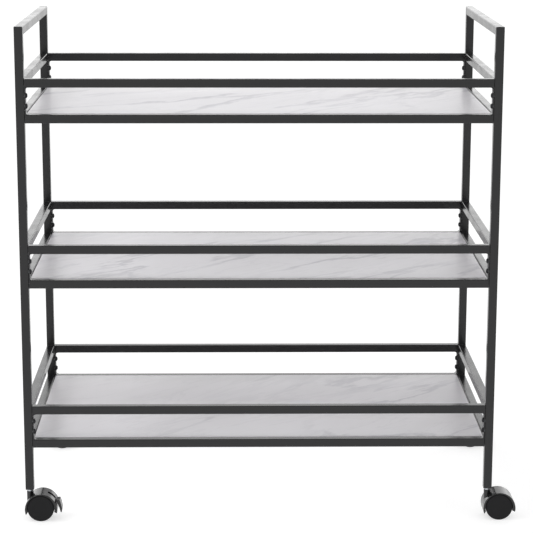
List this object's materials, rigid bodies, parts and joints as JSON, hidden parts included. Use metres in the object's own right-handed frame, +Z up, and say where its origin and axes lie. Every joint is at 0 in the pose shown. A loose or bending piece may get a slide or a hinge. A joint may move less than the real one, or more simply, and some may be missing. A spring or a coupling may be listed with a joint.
{
  "type": "bar cart",
  "caption": "Rolling bar cart: square steel tube frame, guard rails round inset marble-look shelf boards, a handle bar across each end and swivelling twin-wheel castors.",
  "frame": {"origin": "on the floor, midway between the four castors' wheels; the frame's middle is 20 mm to the left, at x = -0.020, because all four castors trail to the right", "axes": "+X to the right along the long side, +Y to the back, +Z up"},
  "size_m": [0.881, 0.4674, 0.883],
  "materials": {
    "black_paint": "satin black powder coat on steel tube",
    "black_bolts": "blackened steel",
    "zinc_steel": "bright zinc plate",
    "marble_laminate": "semi-gloss marble-look foil on fibreboard",
    "castor_plastic": "moulded black nylon with a soft sheen",
    "wheel_plastic": "moulded black nylon"
  },
  "bodies": {
    "frame": {"back_bottom_guard_rail": "black_paint", "back_bottom_shelf_rail": "black_paint", "back_left_castor_stem": "zinc_steel", "back_left_post": "black_paint", "back_middle_guard_rail": "black_paint", "back_middle_shelf_rail": "black_paint", "back_right_castor_stem": "zinc_steel", "back_right_post": "black_paint", "back_top_guard_rail": "black_paint", "back_top_shelf_rail": "black_paint", "bottom_shelf_board": "marble_laminate", "castor_sockets": "castor_plastic", "front_bottom_guard_rail": "black_paint", "front_bottom_shelf_rail": "black_paint", "front_left_castor_stem": "zinc_steel", "front_left_post": "black_paint", "front_middle_guard_rail": "black_paint", "front_middle_shelf_rail": "black_paint", "front_right_castor_stem": "zinc_steel", "front_right_post": "black_paint", "front_top_guard_rail": "black_paint", "front_top_shelf_rail": "black_paint", "left_bottom_guard_rail": "black_paint", "left_bottom_shelf_rail": "black_paint", "left_handle_bar": "black_paint", "left_middle_guard_rail": "black_paint", "left_middle_shelf_rail": "black_paint", "left_top_guard_rail": "black_paint", "left_top_shelf_rail": "black_paint", "middle_shelf_board": "marble_laminate", "rail_bolts": "black_bolts", "rail_end_plates": "black_paint", "right_bottom_guard_rail": "black_paint", "right_bottom_shelf_rail": "black_paint", "right_handle_bar": "black_paint", "right_middle_guard_rail": "black_paint", "right_middle_shelf_rail": "black_paint", "right_top_guard_rail": "black_paint", "right_top_shelf_rail": "black_paint", "rivet_nuts": "zinc_steel", "shelf_support_tabs": "black_paint", "top_shelf_board": "marble_laminate"},
    "back_left_castor": {"back_left_castor_axle": "zinc_steel", "back_left_castor_hood": "castor_plastic"},
    "back_left_brake": {"back_left_castor_brake_lever": "castor_plastic"},
    "back_left_inner_wheel": {"back_left_castor_inner_wheel": "wheel_plastic"},
    "back_left_outer_wheel": {"back_left_castor_outer_wheel": "wheel_plastic"},
    "back_right_castor": {"back_right_castor_axle": "zinc_steel", "back_right_castor_hood": "castor_plastic"},
    "back_right_inner_wheel": {"back_right_castor_inner_wheel": "wheel_plastic"},
    "back_right_outer_wheel": {"back_right_castor_outer_wheel": "wheel_plastic"},
    "front_left_castor": {"front_left_castor_axle": "zinc_steel", "front_left_castor_hood": "castor_plastic"},
    "front_left_brake": {"front_left_castor_brake_lever": "castor_plastic"},
    "front_left_inner_wheel": {"front_left_castor_inner_wheel": "wheel_plastic"},
    "front_left_outer_wheel": {"front_left_castor_outer_wheel": "wheel_plastic"},
    "front_right_castor": {"front_right_castor_axle": "zinc_steel", "front_right_castor_hood": "castor_plastic"},
    "front_right_inner_wheel": {"front_right_castor_inner_wheel": "wheel_plastic"},
    "front_right_outer_wheel": {"front_right_castor_outer_wheel": "wheel_plastic"}
  },
  "joints": [
    {"name": "front_left_castor_swivel", "type": "hinge", "parent": "frame", "child": "front_left_castor", "pos_m": [-0.4315, -0.2125, 0.04], "axis": [0, 0, 1], "continuous": true},
    {"name": "front_left_outer_wheel_spin", "type": "hinge", "parent": "front_left_castor", "child": "front_left_outer_wheel", "pos_m": [-0.4115, -0.2125, 0.024], "axis": [0, 1, 0], "continuous": true},
    {"name": "front_left_inner_wheel_spin", "type": "hinge", "parent": "front_left_castor", "child": "front_left_inner_wheel", "pos_m": [-0.4115, -0.2125, 0.024], "axis": [0, 1, 0], "continuous": true},
    {"name": "front_left_brake_lift", "type": "hinge", "parent": "front_left_castor", "child": "front_left_brake", "pos_m": [-0.39621, -0.2125, 0.04018], "axis": [0, -1, 0], "range_deg": [0, 22]},
    {"name": "front_right_castor_swivel", "type": "hinge", "parent": "frame", "child": "front_right_castor", "pos_m": [0.3915, -0.2125, 0.04], "axis": [0, 0, 1], "continuous": true},
    {"name": "front_right_outer_wheel_spin", "type": "hinge", "parent": "front_right_castor", "child": "front_right_outer_wheel", "pos_m": [0.4115, -0.2125, 0.024], "axis": [0, 1, 0], "continuous": true},
    {"name": "front_right_inner_wheel_spin", "type": "hinge", "parent": "front_right_castor", "child": "front_right_inner_wheel", "pos_m": [0.4115, -0.2125, 0.024], "axis": [0, 1, 0], "continuous": true},
    {"name": "back_left_castor_swivel", "type": "hinge", "parent": "frame", "child": "back_left_castor", "pos_m": [-0.4315, 0.2125, 0.04], "axis": [0, 0, 1], "continuous": true},
    {"name": "back_left_outer_wheel_spin", "type": "hinge", "parent": "back_left_castor", "child": "back_left_outer_wheel", "pos_m": [-0.4115, 0.2125, 0.024], "axis": [0, 1, 0], "continuous": true},
    {"name": "back_left_inner_wheel_spin", "type": "hinge", "parent": "back_left_castor", "child": "back_left_inner_wheel", "pos_m": [-0.4115, 0.2125, 0.024], "axis": [0, 1, 0], "continuous": true},
    {"name": "back_left_brake_lift", "type": "hinge", "parent": "back_left_castor", "child": "back_left_brake", "pos_m": [-0.39621, 0.2125, 0.04018], "axis": [0, -1, 0], "range_deg": [0, 22]},
    {"name": "back_right_castor_swivel", "type": "hinge", "parent": "frame", "child": "back_right_castor", "pos_m": [0.3915, 0.2125, 0.04], "axis": [0, 0, 1], "continuous": true},
    {"name": "back_right_outer_wheel_spin", "type": "hinge", "parent": "back_right_castor", "child": "back_right_outer_wheel", "pos_m": [0.4115, 0.2125, 0.024], "axis": [0, 1, 0], "continuous": true},
    {"name": "back_right_inner_wheel_spin", "type": "hinge", "parent": "back_right_castor", "child": "back_right_inner_wheel", "pos_m": [0.4115, 0.2125, 0.024], "axis": [0, 1, 0], "continuous": true}
  ]
}
